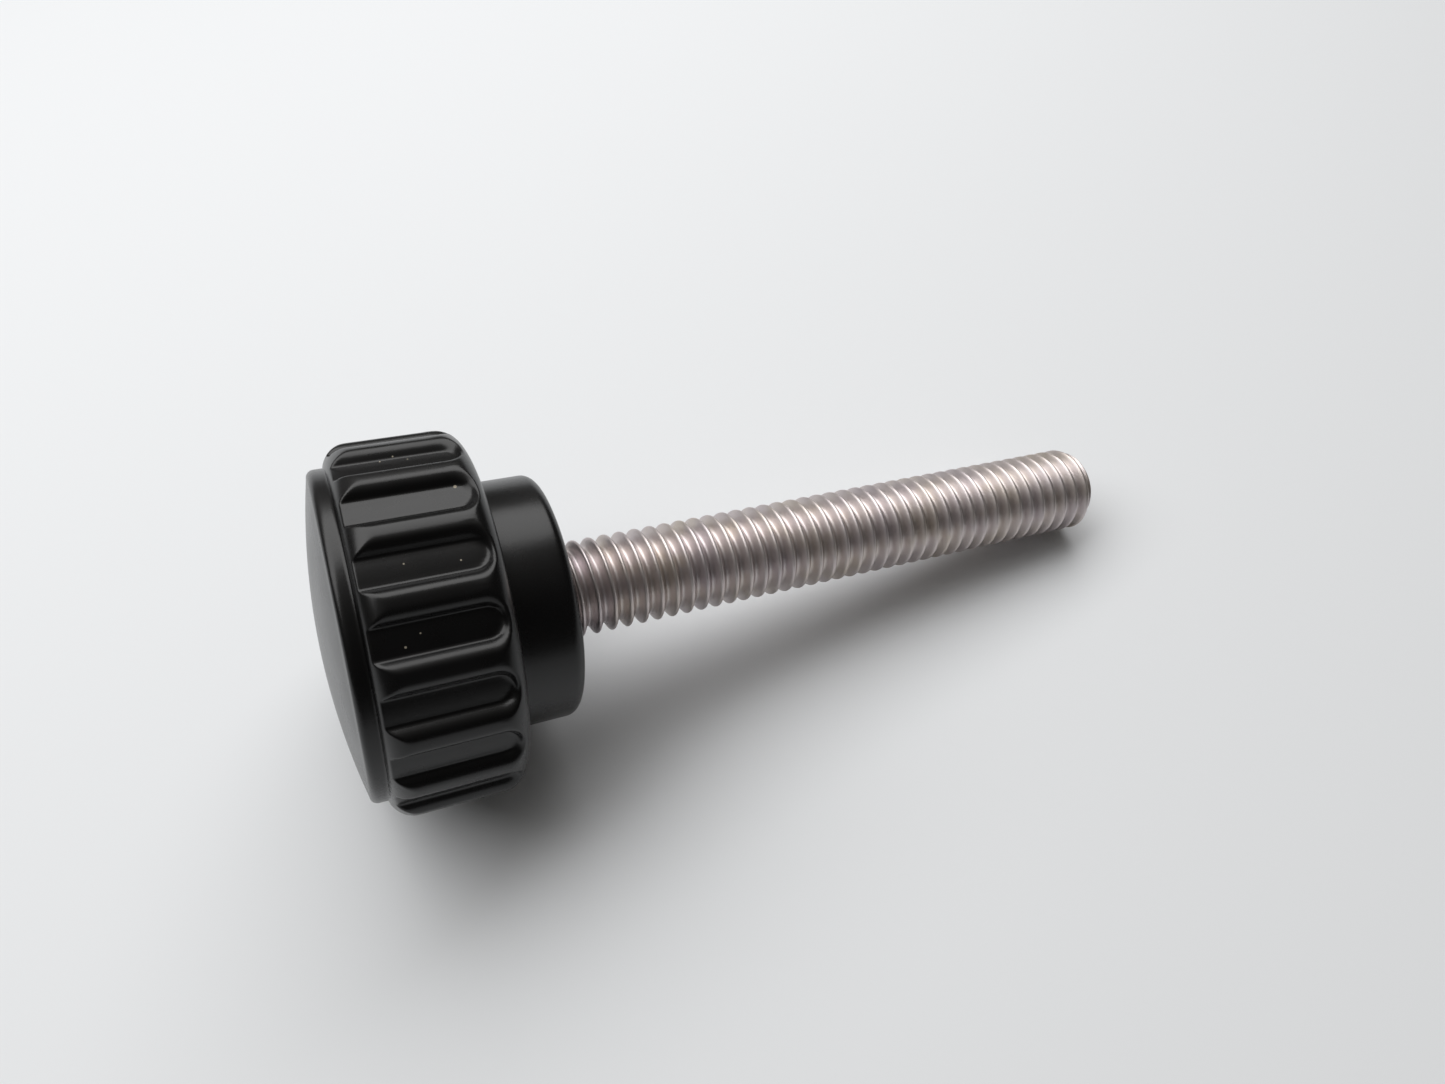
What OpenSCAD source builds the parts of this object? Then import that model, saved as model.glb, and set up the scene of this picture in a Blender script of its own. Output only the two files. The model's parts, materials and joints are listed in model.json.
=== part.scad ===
// Thumb screw: a fluted plastic head moulded round the hexagon head of a
// fully threaded steel stud.
//
// The screw is first built upright: its axis is Z, the clamping face of the
// hub is at z = 0, the plastic head is above it and the stud hangs below.
// lay_down() then puts it on the table the way it comes to rest, on two
// ridges of the grip and on the rim of the stud's tip. The origin is on the
// table, under the middle of the screw, and the stud points along +X.

/* [Grip] */
// Diameter over the ridges
grip_d = 21.4; // [18:0.1:27]
// Height of the ridged drum, between the shoulder and the face's rim
grip_h = 7.5; // [6:0.1:12]
// Number of ridges, with a flute between each two
ridge_count = 18; // [14:1:22]
// Radius of the rounding along each ridge
ridge_round = 0.8; // [0.45:0.05:0.9]
// Width of the land left on the top of each ridge
ridge_land = 0.5; // [0.4:0.05:0.8]
// Depth of a flute below the ridges
flute_depth = 0.65; // [0.5:0.05:0.8]
// Distance from the shoulder at which a flute reaches its full depth
flute_run = 1.6; // [1.5:0.1:2.5]
// Rounding of the drum's edge at the shoulder, beside the hub
shoulder_round = 1.4; // [0.8:0.1:1.5]
// Rounding of the ridges' ends at the face
crown_round = 1.6; // [1.3:0.1:2]

/* [Face] */
// How far the smooth face is set in from the tops of the ridges
face_inset = 1.25; // [1:0.05:1.3]
// Height of the face's rim above the ridged drum
rim_h = 0.9; // [0.5:0.05:1.2]
// Rounding of the rim's edge
rim_round = 0.45; // [0.2:0.05:0.5]
// Rise of the domed face from its rim to its middle
dome_rise = 1; // [0.2:0.05:1.3]

/* [Hub] */
// Diameter of the hub
hub_d = 14.7; // [13:0.1:15]
// Length of the hub, from the shoulder to the clamping face
hub_h = 3.9; // [2.5:0.1:8]
// Rounding of the hub's edge at the clamping face
hub_round = 0.7; // [0.3:0.1:1]
// Fillet in the corner between hub and shoulder
hub_fillet = 0.3; // [0.1:0.05:0.3]

/* [Stud] */
// Outside diameter of the thread
stud_d = 6; // [5:1:6]
// Thread pitch
stud_pitch = 1; // [0.8:0.2:1]
// Length of the stud below the clamping face
stud_len = 40; // [20:1:80]
// Width across the flats of the hexagon that is moulded in
hex_af = 10; // [8:0.5:11]
// Height of the hexagon
hex_h = 4; // [3:0.1:4.2]
// Plastic left between the hexagon and the face's rim
hex_cover = 3.3; // [2:0.1:3.5]

/* [Hidden] */
$fn = 80;
// Facets of a full circle where only a small rounding is taken from it
small_fn = 20;

// Grip
grip_r = grip_d / 2;
step = 360 / ridge_count;
shoulder_z = hub_h;
drum_top = shoulder_z + grip_h;

// Outline of one ridge and flute, in a plane across the axis. The ridge's
// rounding has its centre at ridge_c from the axis. The flute's hollow is
// an arc that runs into the two ridges' roundings at flute_edge_y.
land_half = asin(ridge_land / 2 / grip_r);
ridge_c = grip_r * cos(land_half) - sqrt(ridge_round * ridge_round - ridge_land * ridge_land / 4);
floor_r = grip_r - flute_depth;
flute_r = (ridge_c * ridge_c + floor_r * floor_r - ridge_round * ridge_round
           - 2 * ridge_c * floor_r * cos(step / 2))
          / (2 * (ridge_round - floor_r + ridge_c * cos(step / 2)));
flute_c = floor_r + flute_r;
ridge_at = ridge_c * [sin(step / 2), cos(step / 2)];
flute_edge_y = ridge_at.y + (flute_c - ridge_at.y) * ridge_round / (ridge_round + flute_r);
// Neighbouring cuts end on each side of the land's middle
past_land = (grip_r + 1) * [sin(step / 2 - land_half / 2), cos(step / 2 - land_half / 2)];
// The arcs cross by this much instead of only touching
cross = 0.003;

// Face
face_r = grip_r - face_inset;
rim_top = drum_top + rim_h;
dome_edge_r = face_r - rim_round;
dome_r = (dome_edge_r * dome_edge_r + dome_rise * dome_rise) / (2 * dome_rise);

// Hub
hub_r = hub_d / 2;

// Stud: it is drawn at the thread's crests up to the clamping face. Inside
// the head it tapers at once to the pitch diameter, where plastic and steel
// meet on average.
stud_r = stud_d / 2;
pitch_r = stud_r - 0.325 * stud_pitch;
tip_chamfer = 0.65 * stud_pitch;
tip_z = tip_chamfer - stud_len;
hex_z = rim_top - hex_cover - hex_h;
hex_corner_r = hex_af / 2 / cos(30);

// Rest: the table touches the rounded shoulder ends of two neighbouring
// ridges and the edge where the tip's chamfer starts.
arc_r = grip_r * cos(step / 2 - land_half) - shoulder_round;
arc_z = shoulder_z + shoulder_round;
rest_tilt = atan2(arc_r - stud_r, arc_z - tip_z)
            + asin(shoulder_round / norm([arc_r - stud_r, arc_z - tip_z]));
lift = stud_r * cos(rest_tilt) - tip_z * sin(rest_tilt);
// Reach of the laid screw along X, to each side of the clamping face: the
// head ends in the dome, or in the rim's rounding where the dome is flatter
// than the screw lies
head_reach = dome_r * sin(rest_tilt) < dome_edge_r
    ? (rim_top + dome_rise - dome_r) * cos(rest_tilt) + dome_r
    : dome_edge_r * sin(rest_tilt) + (rim_top - rim_round) * cos(rest_tilt) + rim_round;
tip_reach = (stud_r - tip_chamfer) * sin(rest_tilt) + stud_len * cos(rest_tilt);
middle = (tip_reach - head_reach) / 2;

// Lays the upright screw on the table, stud towards +X, with the middle of
// a flute underneath
module lay_down() {
    translate([-middle, 0, lift]) rotate([0, rest_tilt - 90, 0]) children();
}

// ---- head: black plastic, one moulding ----

// Half section of a disc of radius r from z0 to z1, with its outer edges
// rounded by low_round at z0 and high_round at z1
module disc_section(r, z0, z1, low_round, high_round) {
    difference() {
        translate([0, z0]) square([r, z1 - z0]);
        corner_cut(r, z0, low_round, 1);
        corner_cut(r, z1, high_round, -1);
    }
}

// What a rounding takes off a square corner at (r, z); side is 1 where the
// disc is above the corner and -1 where it is below
module corner_cut(r, z, size, side) {
    if (size > 0) difference() {
        translate([r - size, min(z, z + side * size)]) square([size, size]);
        translate([r - size, z + side * size]) circle(size, $fn = small_fn);
    }
}

module head_body() {
    rotate_extrude() {
        disc_section(hub_r, 0, shoulder_z + 0.5, hub_round, 0);
        disc_section(grip_r, shoulder_z, drum_top, shoulder_round, crown_round);
        disc_section(face_r, drum_top - 1, rim_top, 0, rim_round);
        // fillet between hub and shoulder
        difference() {
            translate([hub_r - 0.1, shoulder_z - hub_fillet])
                square([hub_fillet + 0.1, hub_fillet + 0.1]);
            translate([hub_r + hub_fillet, shoulder_z - hub_fillet])
                circle(hub_fillet, $fn = small_fn);
        }
        // domed face
        intersection() {
            translate([0, rim_top + dome_rise - dome_r]) circle(dome_r, $fn = 180);
            translate([0, rim_top - 0.1]) square([dome_edge_r, dome_rise + 0.2]);
        }
    }
}

// Section of what one flute takes away, on the +Y side of the drum: its
// hollow, and above that the space between the two rounded ridges
module flute_section() {
    intersection() {
        polygon([[0, 0], past_land, [-past_land.x, past_land.y]]);
        union() {
            translate([0, flute_c]) circle(flute_r + cross);
            difference() {
                translate([-grip_r, flute_edge_y]) square([grip_d, grip_r]);
                for (side = [-1, 1])
                    translate([side * ridge_at.x, ridge_at.y]) circle(ridge_round);
            }
        }
    }
}

// One flute: open at the face, with a round end towards the shoulder
module flute_cut() {
    linear_extrude(grip_h + 1) flute_section();
    rotate([-90, 0, 0]) rotate_extrude() intersection() {
        flute_section();
        square(grip_d);
    }
}

module head() {
    color([0.045, 0.043, 0.045]) lay_down() difference() {
        head_body();
        for (i = [0 : ridge_count - 1])
            rotate([0, 0, 90 + i * step])
                translate([0, 0, shoulder_z + flute_run]) flute_cut($fn = small_fn);
        moulded_in(-1);
    }
}

// ---- stud: zinc-plated steel ----

// Hexagon, and the stem under it down to z0
module moulded_in(z0) {
    rotate_extrude() polygon([
        [0, z0], [stud_r, z0], [stud_r, 0], [pitch_r, stud_r - pitch_r],
        [pitch_r, hex_z + 0.5], [0, hex_z + 0.5]]);
    translate([0, 0, hex_z]) hexagon();
}

// Its top corners are chamfered at 30 degrees down to the inscribed circle
module hexagon() {
    intersection() {
        cylinder(h = hex_h, r = hex_corner_r, $fn = 6);
        cylinder(h = hex_h, r1 = hex_af / 2 + hex_h / tan(30), r2 = hex_af / 2);
    }
}

module stud() {
    color([0.72, 0.71, 0.70]) lay_down() {
        translate([0, 0, -stud_len])
            cylinder(h = tip_chamfer, r1 = stud_r - tip_chamfer, r2 = stud_r);
        moulded_in(tip_z);
    }
}

head();
stud();
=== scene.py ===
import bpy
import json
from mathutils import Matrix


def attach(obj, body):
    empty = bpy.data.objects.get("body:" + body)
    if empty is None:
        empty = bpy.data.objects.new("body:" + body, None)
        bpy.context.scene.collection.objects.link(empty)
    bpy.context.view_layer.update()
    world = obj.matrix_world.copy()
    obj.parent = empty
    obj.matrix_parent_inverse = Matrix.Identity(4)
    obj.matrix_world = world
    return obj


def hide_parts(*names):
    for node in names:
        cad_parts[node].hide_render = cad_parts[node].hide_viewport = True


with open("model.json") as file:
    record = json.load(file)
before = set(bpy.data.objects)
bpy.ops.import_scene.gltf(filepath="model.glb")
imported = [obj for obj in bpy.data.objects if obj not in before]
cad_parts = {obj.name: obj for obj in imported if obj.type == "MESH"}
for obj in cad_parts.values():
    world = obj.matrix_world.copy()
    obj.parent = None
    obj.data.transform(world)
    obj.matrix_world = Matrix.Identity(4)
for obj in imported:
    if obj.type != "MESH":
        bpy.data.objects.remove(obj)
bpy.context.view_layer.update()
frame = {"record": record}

import json
import math

import bmesh
import bpy
import numpy as np
from mathutils import Matrix, Vector

# ---- Stud ----
# A fully threaded M6 hexagon screw of steel, with a rolled right-hand thread and bright zinc plate.
# The hexagon is moulded into the head and holds the stud there, so only the thread shows.

MM = 0.001
# sizes in millimetres
PITCH = 1.0
CREST_R = 2.95
CREST_ROUND = 0.10
PITCH_R = 2.65
ROOT_R = 2.39
ROOT_ROUND = 0.16
STUD_LENGTH = 40.0
TIP_CHAMFER = 0.62
TIP_ROUND = 0.05
DISH_DEPTH = 0.14
# how far in from the tip's edge its dish starts and is deepest, as a share of the way to the middle
DISH_FROM = 0.18
DISH_TO = 0.68
# height of the hexagon's underside above the clamping face, a whole number of pitches
HEX_SEAT = 5.0
HEX_ACROSS = 10.0
HEX_HEIGHT = 4.0
# how far below the hexagon's top the mesh has a row on its chamfer
CHAMFER_ROWS = (0.45, 0.33, 0.22, 0.11, 0.0)
THREAD_COLUMNS = 72
ROWS_PER_TURN = 16
END_ROWS = 15

# Each piece is made upright, with its axis along Z, the hub's clamping face at z = 0, the head above
# it and the stud below. laid then turns it to the way the screw rests on the table, on two ridges of
# the grip and on the rim of the tip.
mounts = {mount["name"]: mount for mount in frame["record"]["mounts"]}
to_tip = Vector(mounts["stud"]["axis"]).normalized()
on_axis = Vector(mounts["stud"]["pos_m"])
on_face = Vector(mounts["clamping_face"]["pos_m"])
face_centre = on_axis + to_tip * (on_face - on_axis).dot(to_tip)
upright_x = (Vector((0, 0, 1)) - to_tip * to_tip.z).normalized()
upright_y = (-to_tip).cross(upright_x)
laid = Matrix((upright_x, upright_y, -to_tip)).transposed().to_4x4()
laid.translation = face_centre


def turned_piece(name, patches):
    """A closed mesh from patches around the upright axis. Each patch is a grid of radius, height
    (both in mm) and angle, with a column for each angle, and neighbouring patches share their edges."""
    mesh = bmesh.new()
    for radius, height, angle in patches:
        columns, rows = radius.shape
        x = radius * np.cos(angle) * MM
        y = radius * np.sin(angle) * MM
        z = height * MM
        grid = [[mesh.verts.new((x[c, r], y[c, r], z[c, r])) for r in range(rows)] for c in range(columns)]
        for c in range(columns - 1):
            for r in range(rows - 1):
                mesh.faces.new((grid[c][r], grid[c][r + 1], grid[c + 1][r + 1], grid[c + 1][r]))
    bmesh.ops.remove_doubles(mesh, verts=mesh.verts, dist=0.0005 * MM)
    bmesh.ops.recalc_face_normals(mesh, faces=mesh.faces)
    data = bpy.data.meshes.new(name)
    mesh.to_mesh(data)
    mesh.free()
    data.transform(laid)
    data.shade_smooth()
    piece = bpy.data.objects.new(name, data)
    bpy.context.scene.collection.objects.link(piece)
    return piece


def smooth_min(a, b, blend):
    """The smaller of a and b, with the corner between them rounded over about blend."""
    return np.minimum(a, b) - np.maximum(blend - np.abs(a - b), 0) ** 2 / (4 * blend)


def thread_radius(angle, height):
    """Radius of the rolled thread: 60 degree flanks between a rounded crest and a rounded root, cut
    back at 45 degrees towards the tip."""
    turn = (height / PITCH - angle / (2 * math.pi)) % 1.0
    from_crest = np.minimum(turn, 1.0 - turn) * PITCH
    flank = PITCH_R + (PITCH / 4 - from_crest) * math.sqrt(3)
    thread = smooth_min(flank, CREST_R, CREST_ROUND)
    thread = -smooth_min(-thread, -ROOT_R, ROOT_ROUND)
    chamfer = CREST_R - TIP_CHAMFER + height + STUD_LENGTH
    return smooth_min(thread, chamfer, TIP_ROUND)


def hexagon_radius(angle):
    """How far the hexagon's sides are from the axis."""
    to_flat = (angle + math.pi / 6) % (math.pi / 3) - math.pi / 6
    return HEX_ACROSS / 2 / np.cos(to_flat)


def stud_patches():
    angle = np.linspace(0, 2 * math.pi, THREAD_COLUMNS + 1)[:, None]
    climb = PITCH * angle / (2 * math.pi)
    turns = round((STUD_LENGTH + HEX_SEAT) / PITCH) - 1
    down = np.arange(turns * ROWS_PER_TURN + 1) * PITCH / ROWS_PER_TURN
    share = np.linspace(0, 1, ROWS_PER_TURN + 1)

    # the first and the last turn run out into flat ends, so that no turn is cut off
    strips = [
        HEX_SEAT - PITCH + climb - down,
        HEX_SEAT + (climb - PITCH) * share,
        -STUD_LENGTH + climb * (1 - share),
    ]
    for height in strips:
        yield thread_radius(angle, height), height, angle

    # end of the tip, with the shallow dish that rolling leaves
    end_r = thread_radius(angle, np.full_like(angle, -STUD_LENGTH))
    inward = np.linspace(0, 1, END_ROWS)
    dish = DISH_DEPTH * np.clip((inward - DISH_FROM) / (DISH_TO - DISH_FROM), 0, 1) ** 1.5
    yield end_r * (1 - inward), -STUD_LENGTH + dish + 0 * angle, angle

    # the hexagon, its top corners chamfered at 30 degrees
    below_top = np.array([[HEX_HEIGHT, *CHAMFER_ROWS]])
    sides = np.minimum(hexagon_radius(angle), HEX_ACROSS / 2 + below_top / math.tan(math.radians(30)))
    start_r = thread_radius(angle, np.full_like(angle, HEX_SEAT))
    radius = np.hstack([start_r, sides, 0 * angle])
    height = HEX_SEAT + np.hstack([[[0]], HEX_HEIGHT - below_top, [[HEX_HEIGHT]]])
    yield radius, height + 0 * angle, angle


stud = turned_piece("stud_threaded", stud_patches())


def linear(hex_colour):
    """An sRGB hex colour as the linear colour that the shaders take."""
    parts = [int(hex_colour[i : i + 2], 16) / 255 for i in (1, 3, 5)]
    return [c / 12.92 if c <= 0.04045 else ((c + 0.055) / 1.055) ** 2.4 for c in parts] + [1.0]


def add(tree, kind, settings=None, **inputs):
    """Adds a node. settings are its own properties, or the stops of a colour ramp as (position, hex
    colour). inputs are its sockets, by name or as _ and a number, each given a value or linked."""
    node = tree.nodes.new("ShaderNode" + kind)
    for key, value in (settings or {}).items():
        if key == "stops":
            for _ in value[2:]:
                node.color_ramp.elements.new(0.5)
            for stop, (position, colour) in zip(node.color_ramp.elements, value):
                stop.position = position
                stop.color = linear(colour)
        else:
            setattr(node, key, value)
    for key, value in inputs.items():
        socket = node.inputs[int(key[1:]) if key[1:].isdigit() else key.replace("_", " ")]
        if isinstance(value, bpy.types.NodeSocket):
            tree.links.new(value, socket)
        else:
            socket.default_value = value
    return node


def zinc_plated_steel():
    """Bright zinc plate over a rolled thread: a pale, slightly warm metal whose soft highlights break
    up along the turns."""
    material = bpy.data.materials.new("zinc_plated_steel")
    material.use_nodes = True
    tree = material.node_tree
    shader = tree.nodes["Principled BSDF"]
    place = add(tree, "TexCoord").outputs["Object"]

    # the plating's tint varies in patches; its grain is some microns across, drawn coarser to show
    patch_width = 2.5 * MM
    grain_width = MM / 9
    patches = add(tree, "TexNoise", Vector=place, Scale=1 / patch_width, Detail=3.0).outputs["Fac"]
    grain = add(tree, "TexNoise", Vector=place, Scale=1 / grain_width, Detail=2.0).outputs["Fac"]
    tints = {"stops": [(0.3, "#CBC1B8"), (0.5, "#CFC6C4"), (0.7, "#C6BDBF")]}
    tint = add(tree, "ValToRGB", tints, Fac=patches).outputs["Color"]
    dull = add(tree, "MapRange", Value=grain, From_Min=0.3, From_Max=0.7, To_Min=0.4, To_Max=0.48)
    bump = add(tree, "Bump", Height=grain, Strength=0.1, Distance=0.01 * MM)
    shader.inputs["Metallic"].default_value = 1.0
    tree.links.new(tint, shader.inputs["Base Color"])
    tree.links.new(dull.outputs["Result"], shader.inputs["Roughness"])
    tree.links.new(bump.outputs["Normal"], shader.inputs["Normal"])
    return material


stud.data.materials.append(zinc_plated_steel())
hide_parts("stud")
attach(stud, "root")

# ---- Head ----
# The part that the fingers turn: a drum with eighteen rounded ridges, a smooth face set in from
# them, and a plain hub that bears on the work. One moulding of black plastic round the hexagon.

GRIP_R = 10.7
RIDGES = 18
RIDGE_ROUND = 0.96
RIDGE_LAND = 0.48
FLUTE_DEPTH = 0.65
FLUTE_FILLET = 0.28
FLUTE_RUN = 1.6
# easing of the edges between land and ridge, and between a flute and the drum's rounded ends
LAND_BLEND = 0.10
END_BLEND = 0.06
HUB_R = 7.35
HUB_H = 3.9
HUB_ROUND = 0.7
HUB_FILLET = 0.3
SHOULDER_ROUND = 1.4
DRUM_TOP = 11.4
CROWN_ROUND = 1.6
FACE_R = 9.45
RIM_TOP = 12.3
RIM_ROUND = 0.45
DOME_RISE = 1.0

# One flute in a plane across the axis: a floor concentric with the drum, a small fillet at each side
# of it, and the large rounding of a ridge. side is measured across the flute and out from the axis.
half_step = math.pi / RIDGES
floor_r = GRIP_R - FLUTE_DEPTH
land_turn = math.asin(RIDGE_LAND / 2 / GRIP_R)
ridge_c = GRIP_R * math.cos(land_turn) - math.sqrt(RIDGE_ROUND**2 - RIDGE_LAND**2 / 4)
fillet_c = floor_r + FLUTE_FILLET
both_rounds = FLUTE_FILLET + RIDGE_ROUND
between = math.acos((fillet_c**2 + ridge_c**2 - both_rounds**2) / (2 * fillet_c * ridge_c))
floor_turn = half_step - between
ridge_side = ridge_c * math.sin(half_step)
ridge_out = ridge_c * math.cos(half_step)
fillet_side = fillet_c * math.sin(floor_turn)
fillet_out = fillet_c * math.cos(floor_turn)
floor_side = floor_r * math.sin(floor_turn)
meet_side = ridge_side - (ridge_side - fillet_side) * RIDGE_ROUND / both_rounds
meet_out = ridge_out - (ridge_out - fillet_out) * RIDGE_ROUND / both_rounds


def flute_radius(angle, height):
    """Radius of the ridged surface, without the roundings of the drum's two ends. angle is 0 in the
    middle of a flute. Nearer to the shoulder than FLUTE_RUN, the flute narrows to a round end."""
    short = np.maximum(HUB_H + FLUTE_RUN - height, 0)
    radius = np.full(np.broadcast(angle, height).shape, GRIP_R)
    # side depends on the radius, so the two are worked out in turn until they settle
    for _ in range(12):
        side = np.hypot(radius * np.sin(angle), short)
        on_floor = np.sqrt(floor_r**2 - np.minimum(side, floor_side) ** 2)
        from_fillet = np.clip(side, floor_side, meet_side) - fillet_side
        on_fillet = fillet_out - np.sqrt(FLUTE_FILLET**2 - from_fillet**2)
        on_ridge = ridge_out + np.sqrt(np.maximum(RIDGE_ROUND**2 - (side - ridge_side) ** 2, 0))
        out = np.where(side < floor_side, on_floor, np.where(side < meet_side, on_fillet, on_ridge))
        past_end = (side > ridge_side) & (short > 0)
        radius = np.where(past_end, GRIP_R + 1, out) / np.cos(angle)
    return smooth_min(radius, GRIP_R, LAND_BLEND)


def flute_columns():
    """Angles of the mesh's columns over one flute, from its middle, closest together in its fillets."""
    floor_end = floor_side / floor_r
    ridge_start = math.atan2(meet_side, meet_out)
    land_start = half_step - land_turn
    half = np.concatenate([
        np.linspace(0, floor_end, 4)[:-1],
        np.linspace(floor_end, ridge_start, 6)[:-1],
        np.linspace(ridge_start, land_start, 8)[:-1],
        np.linspace(land_start, half_step, 4),
    ])
    return np.concatenate([-half[:0:-1], half[:-1]])


def arc(r, z, size, start, end, points):
    """Points on an arc of the section, from start to end degrees, 0 being outwards and 90 upwards."""
    turn = np.radians(np.linspace(start, end, points))
    return list(zip(r + size * np.cos(turn), z + size * np.sin(turn)))


def line(r0, z0, r1, z1, points):
    """Points between two ends, without the ends."""
    share = np.linspace(0, 1, points + 2)[1:-1]
    return [(r0 + (r1 - r0) * s, z0 + (z1 - z0) * s) for s in share]


def head_section():
    """Outline of the head's section, from the thread's mouth round to the middle of the face."""
    hub_edge = HUB_R - HUB_ROUND
    drum_edge = GRIP_R - SHOULDER_ROUND
    dome_edge = FACE_R - RIM_ROUND
    shoulder_z = HUB_H + SHOULDER_ROUND
    crown_z = DRUM_TOP - CROWN_ROUND
    crown_end = math.degrees(math.acos((FACE_R - (GRIP_R - CROWN_ROUND)) / CROWN_ROUND))
    foot_z = crown_z + CROWN_ROUND * math.sin(math.radians(crown_end))
    section = [(ROOT_R, 0.0)]
    section += line(ROOT_R, 0, hub_edge, 0, points=5)
    section += arc(hub_edge, HUB_ROUND, HUB_ROUND, -90, 0, points=9)
    section += line(HUB_R, HUB_ROUND, HUB_R, HUB_H - HUB_FILLET, points=5)
    section += arc(HUB_R + HUB_FILLET, HUB_H - HUB_FILLET, -HUB_FILLET, 0, -90, points=6)
    section += line(HUB_R + HUB_FILLET, HUB_H, drum_edge, HUB_H, points=4)
    section += arc(drum_edge, shoulder_z, SHOULDER_ROUND, -90, 0, points=25)
    section += line(GRIP_R, shoulder_z, GRIP_R, crown_z, points=22)
    section += arc(GRIP_R - CROWN_ROUND, crown_z, CROWN_ROUND, 0, crown_end, points=24)
    section += line(FACE_R, foot_z, FACE_R, RIM_TOP - RIM_ROUND, points=2)
    section += arc(dome_edge, RIM_TOP - RIM_ROUND, RIM_ROUND, 0, 90, points=9)
    for share in np.linspace(1, 0, 22)[1:]:
        section.append((dome_edge * share, RIM_TOP + DOME_RISE * (1 - share**2)))
    return np.array(section)


def head_patches():
    # the middle of a flute faces the table, at the angle pi
    columns = flute_columns()
    turns = np.arange(RIDGES)[:, None] * 2 * half_step
    angle = np.append((math.pi + turns + columns).ravel(), 3 * math.pi - half_step)[:, None]
    from_flute = np.append(np.tile(columns, RIDGES), -half_step)[:, None]
    section = head_section()
    radius = section[None, :, 0]
    height = section[None, :, 1] + 0 * angle
    fluted = smooth_min(flute_radius(from_flute, height), radius, END_BLEND)
    on_drum = (height > HUB_H) & (height < DRUM_TOP)
    yield np.where(on_drum, fluted, radius), height, angle

    # the hollow that the stud's stem and hexagon fill
    stem_r = np.full_like(angle, ROOT_R)
    hex_r = hexagon_radius(angle)
    hollow_r = np.hstack([stem_r, stem_r, hex_r, hex_r, 0 * angle])
    cover = HEX_SEAT + HEX_HEIGHT
    yield hollow_r, np.array([[0, HEX_SEAT, HEX_SEAT, cover, cover]]) + 0 * angle, angle


head = turned_piece("head_fluted", head_patches())

# Specks of dust in the flutes of the upper side: how far each is turned round the axis from the
# upright x, in degrees, its height above the clamping face and its width, both in mm. Real ones are
# 0.03 to 0.1 mm, and are drawn about twice as wide so that they show at all.
DUST = [
    (4, 5.4, 0.2), (23, 7.2, 0.1), (24, 8.6, 0.1), (25, 7.9, 0.1),
    (318, 9.5, 0.14), (321, 8.7, 0.1), (339, 6.1, 0.1), (341, 8.8, 0.1),
]


def dust_on_head(tree, place):
    """1 on each speck of dust, fading to 0 over the outer part of its width."""
    cover = 0.0
    for turn, height, width in DUST:
        angle = math.radians(turn)
        from_flute = (angle - math.pi + half_step) % (2 * half_step) - half_step
        out = float(flute_radius(np.array([from_flute]), np.array([height]))[0])
        speck = laid @ (Vector((out * math.cos(angle), out * math.sin(angle), height)) * MM)
        away = add(tree, "VectorMath", {"operation": "DISTANCE"}, _0=place, _1=speck).outputs["Value"]
        solid = width * 0.35 * MM
        edge = width * 0.5 * MM
        here = add(tree, "MapRange", Value=away, From_Min=solid, From_Max=edge, To_Min=1.0, To_Max=0.0)
        cover = add(
            tree, "Math", {"operation": "MAXIMUM"}, _0=here.outputs["Result"], _1=cover
        ).outputs["Value"]
    return cover


def moulded_black_plastic():
    """Glass-filled nylon from a smooth mould: near black, with a satin sheen that broad lights spread
    over, a very fine orange peel, and a few pale specks of dust."""
    material = bpy.data.materials.new("moulded_black_plastic")
    material.use_nodes = True
    tree = material.node_tree
    shader = tree.nodes["Principled BSDF"]
    place = add(tree, "TexCoord").outputs["Object"]

    # the skin varies in broad patches, and its peel is about 0.3 mm across
    patch_width = 4 * MM
    peel_width = MM / 3.5
    patches = add(tree, "TexNoise", Vector=place, Scale=1 / patch_width, Detail=4.0).outputs["Fac"]
    peel = add(tree, "TexNoise", Vector=place, Scale=1 / peel_width, Detail=2.0).outputs["Fac"]
    blacks = {"stops": [(0.35, "#060606"), (0.65, "#0A090A")]}
    skin = add(tree, "ValToRGB", blacks, Fac=patches).outputs["Color"]
    dust = dust_on_head(tree, place)
    colour = add(tree, "Mix", {"data_type": "RGBA"}, _0=dust, _6=skin, _7=linear("#A39B8A")).outputs[2]
    satin = add(tree, "MapRange", Value=patches, From_Min=0.3, From_Max=0.7, To_Min=0.25, To_Max=0.3)
    # a speck is duller than the skin round it
    dull = add(
        tree, "Math", {"operation": "MULTIPLY_ADD"}, _0=dust, _1=0.5, _2=satin.outputs["Result"]
    ).outputs["Value"]
    bump = add(tree, "Bump", Height=peel, Strength=0.12, Distance=0.02 * MM)
    # nylon's is 1.53, and the skin's gloss is a little weaker than that gives
    shader.inputs["IOR"].default_value = 1.43
    tree.links.new(colour, shader.inputs["Base Color"])
    tree.links.new(dull, shader.inputs["Roughness"])
    tree.links.new(bump.outputs["Normal"], shader.inputs["Normal"])
    return material


head.data.materials.append(moulded_black_plastic())
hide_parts("head")
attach(head, "root")

# ---- Table and light ----
# A plain pale sheet just under the screw, a wide soft lamp high on the far side that faces the
# screw, and a dim even sky that brightens softly round the lamp.

TABLE_WIDTH = 4000 * MM
TABLE_Z = -0.03 * MM
bpy.ops.mesh.primitive_plane_add(size=TABLE_WIDTH, location=(0, 0, TABLE_Z))
floor = bpy.context.object
floor.name = "floor"
# matt paper has no gloss of its own, so only light and shadow show on it
paper = bpy.data.materials.new("pale_paper")
paper.use_nodes = True
paper_shader = paper.node_tree.nodes["Principled BSDF"]
paper_shader.inputs["Base Color"].default_value = linear("#E6E8EA")
paper_shader.inputs["Roughness"].default_value = 0.8
floor.data.materials.append(paper)

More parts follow.
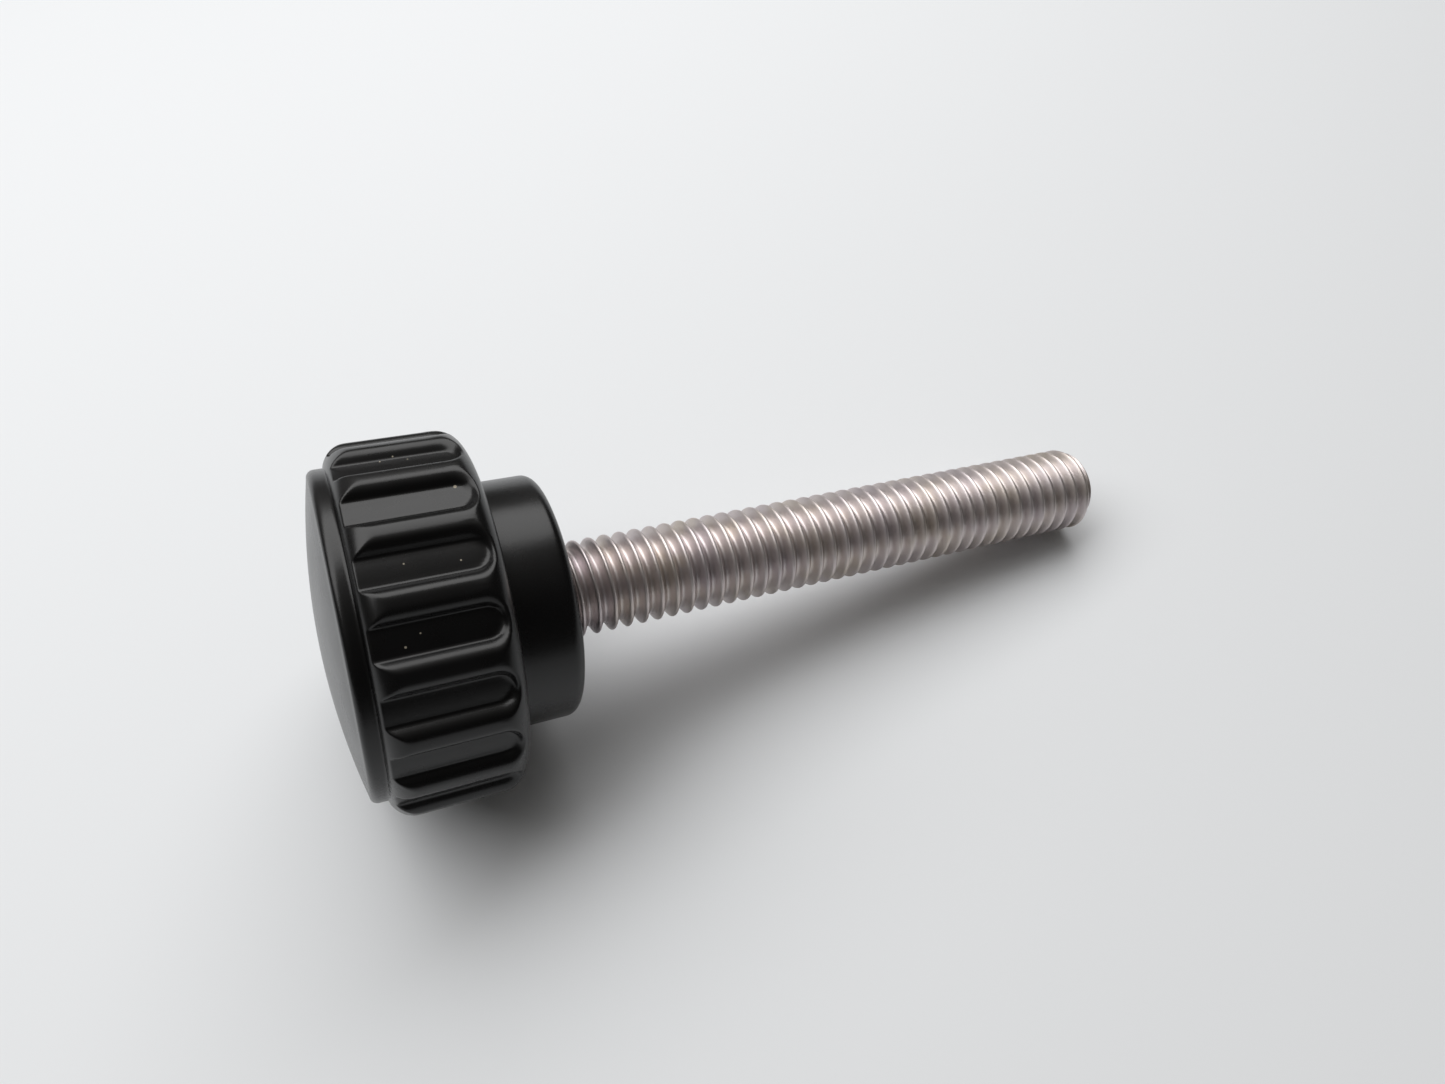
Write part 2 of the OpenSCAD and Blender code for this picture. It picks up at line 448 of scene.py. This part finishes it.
# how far the lamp is turned round from straight behind the screw, how high above the table it is, as
# an angle, and its distance
LAMP_ROUND = math.radians(-20)
LAMP_UP = math.radians(61)
LAMP_AWAY = 280 * MM
to_lamp = Vector((
    math.sin(LAMP_ROUND) * math.cos(LAMP_UP),
    math.cos(LAMP_ROUND) * math.cos(LAMP_UP),
    math.sin(LAMP_UP),
))
light = bpy.data.lights.new("far_lamp", "AREA")
light.shape = "RECTANGLE"
light.size = 600 * MM
light.size_y = 220 * MM
light.energy = 1.15
light.color = linear("#FFFFFF")[:3]
lamp = bpy.data.objects.new("far_lamp", light)
lamp.location = to_lamp * LAMP_AWAY
lamp.rotation_euler = (-to_lamp).to_track_quat("-Z", "Y").to_euler()
bpy.context.scene.collection.objects.link(lamp)

world = bpy.data.worlds.new("soft_sky")
bpy.context.scene.world = world
world.use_nodes = True
sky = world.node_tree
direction = add(sky, "TexCoord").outputs["Generated"]
near = add(sky, "VectorMath", {"operation": "DOT_PRODUCT"}, _0=direction, _1=to_lamp).outputs["Value"]
above = add(sky, "MapRange", Value=near, From_Min=0.0, From_Max=1.0, To_Min=0.0, To_Max=1.0)
glow = add(sky, "Math", {"operation": "POWER"}, _0=above.outputs["Result"], _1=3.0).outputs["Value"]
strength = add(sky, "MapRange", Value=glow, From_Min=0.0, From_Max=1.0, To_Min=0.06, To_Max=0.56)
background = sky.nodes["Background"]
background.inputs["Color"].default_value = linear("#FBF8F4")
sky.links.new(strength.outputs["Result"], background.inputs["Strength"])

# ---- Camera ----
# Held close above the near side of the head, looking down along the stud.

CAMERA_AT = Vector((-17.51, -35.86, 61.13)) * MM
LOOKS_AT = Vector((1.03, 6.53, 0.0)) * MM
ROLL = math.radians(2.04)
camera = bpy.data.objects.new("camera", bpy.data.cameras.new("camera"))
camera.data.sensor_width = 36.0
camera.data.lens = 25.51
camera.data.clip_start = 5 * MM
towards = (LOOKS_AT - CAMERA_AT).to_track_quat("-Z", "Y").to_matrix().to_4x4()
camera.matrix_world = Matrix.Translation(CAMERA_AT) @ towards @ Matrix.Rotation(ROLL, 4, "Z")
bpy.context.scene.collection.objects.link(camera)
bpy.context.scene.camera = camera
bpy.context.scene.view_settings.view_transform = "Standard"

bpy.context.view_layer.update()
